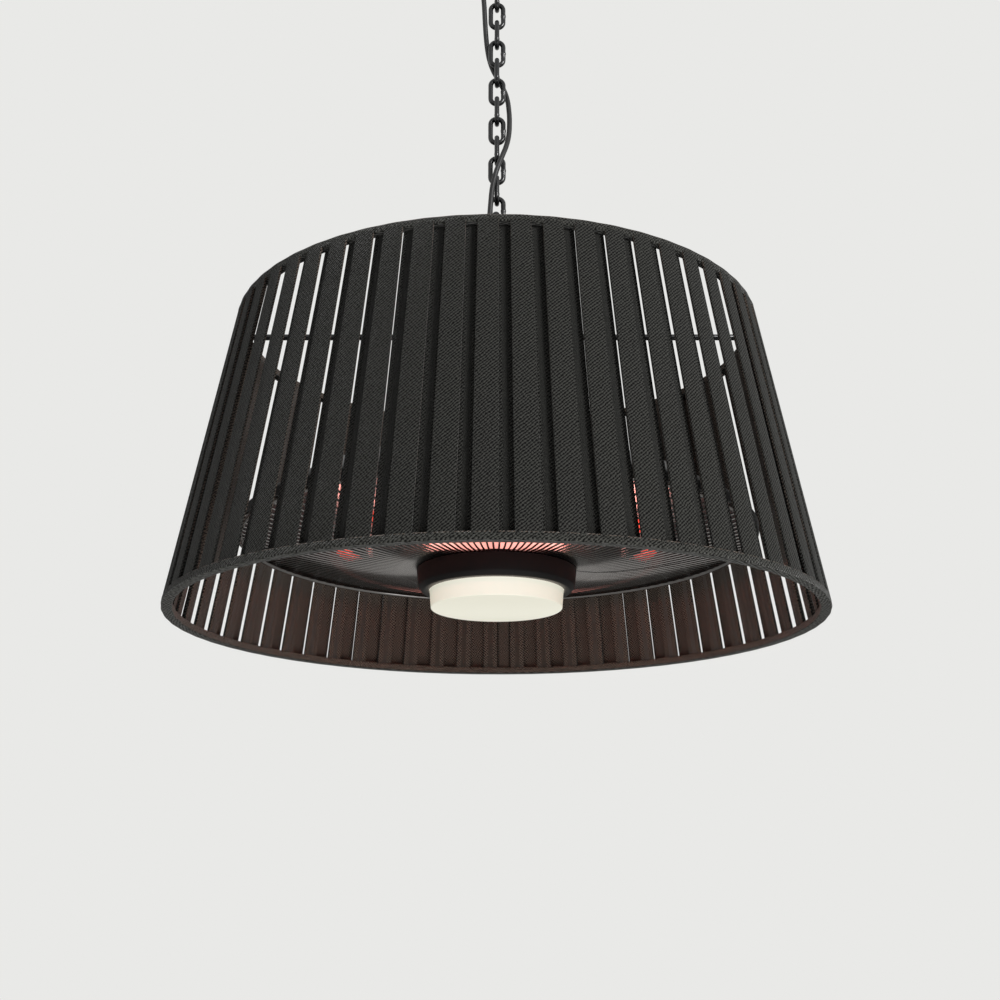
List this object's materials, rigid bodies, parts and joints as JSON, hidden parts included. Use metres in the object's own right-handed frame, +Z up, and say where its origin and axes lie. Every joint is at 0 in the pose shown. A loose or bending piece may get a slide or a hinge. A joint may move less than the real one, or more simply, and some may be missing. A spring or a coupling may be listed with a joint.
{
  "type": "hanging patio heater",
  "caption": "Ceiling-hung patio heater: a tapered strap shade on a chain, with an electric ring heater behind a wire guard and a round lamp in its middle.",
  "frame": {"origin": "middle of the ceiling plate's top face, which lies against the ceiling", "axes": "+Z up, the heater hangs below the origin; -Y is the front that the picture shows, +X is its right"},
  "size_m": [0.6, 0.6, 0.7779],
  "materials": {
    "steel": "glossy black powder coat on steel",
    "enamel": "satin black heat-proof paint on steel",
    "textile": "charcoal outdoor twill webbing",
    "aluminium": "polished aluminium",
    "hot": "glowing quartz tube",
    "ceramic": "unglazed steatite",
    "opal": "lit opal plastic",
    "cable": "black rubber cable sheath",
    "plastic": "black moulded plastic",
    "board": "white lamp board"
  },
  "bodies": {
    "ceiling": {"ceiling_plate": "steel", "ceiling_canopy": "enamel", "ceiling_hook": "steel", "canopy_nut": "steel", "cable_grip": "cable"},
    "top_link": {"chain_link_01": "steel"},
    "chain": {"chain_link_02": "steel", "chain_link_03": "steel", "chain_link_04": "steel", "chain_link_05": "steel", "chain_link_06": "steel", "chain_link_07": "steel", "chain_link_08": "steel", "chain_link_09": "steel", "chain_link_10": "steel", "chain_link_11": "steel", "chain_link_12": "steel", "chain_link_13": "steel", "chain_link_14": "steel", "chain_link_15": "steel", "chain_link_16": "steel", "power_cable": "cable"},
    "bottom_link": {"chain_link_17": "steel"},
    "lamp": {"eye_bolt": "steel", "eye_nut": "steel", "hub": "enamel", "spider_bar_right": "steel", "spider_bar_left": "steel", "spider_bar_front": "steel", "spider_bar_back": "steel", "shade_frame": "steel", "shade_outer_straps": "textile", "shade_inner_straps": "textile", "stem": "steel", "stem_nut": "steel", "heater_housing": "enamel", "terminal_box": "enamel", "terminal_box_lid": "enamel", "terminal_block": "ceramic", "cable_gland": "plastic", "inner_lead": "cable", "reflector": "aluminium", "heating_tube": "hot", "end_cap_right": "ceramic", "end_cap_left": "ceramic", "tube_clip_1": "aluminium", "tube_clip_2": "aluminium", "tube_clip_3": "aluminium", "wire_guard": "steel", "led_collar": "plastic", "led_heat_sink": "aluminium", "led_board": "board", "lamp_nut": "steel", "led_driver": "plastic", "led_diffuser": "opal"}
  },
  "joints": [
    {"name": "hook_swing", "type": "hinge", "parent": "ceiling", "child": "top_link", "pos_m": [0, 0, -0.0735], "axis": [0, 1, 0], "range_deg": [-6, 6]},
    {"name": "chain_swing", "type": "hinge", "parent": "top_link", "child": "chain", "pos_m": [0, 0, -0.0964], "axis": [1, 0, 0], "range_deg": [-6, 6]},
    {"name": "bottom_link_swing", "type": "hinge", "parent": "chain", "child": "bottom_link", "pos_m": [0, 0, -0.4399], "axis": [0, 1, 0], "range_deg": [-6, 6]},
    {"name": "lamp_swing", "type": "hinge", "parent": "bottom_link", "child": "lamp", "pos_m": [0, 0, -0.4628], "axis": [1, 0, 0], "range_deg": [-6, 6]}
  ]
}
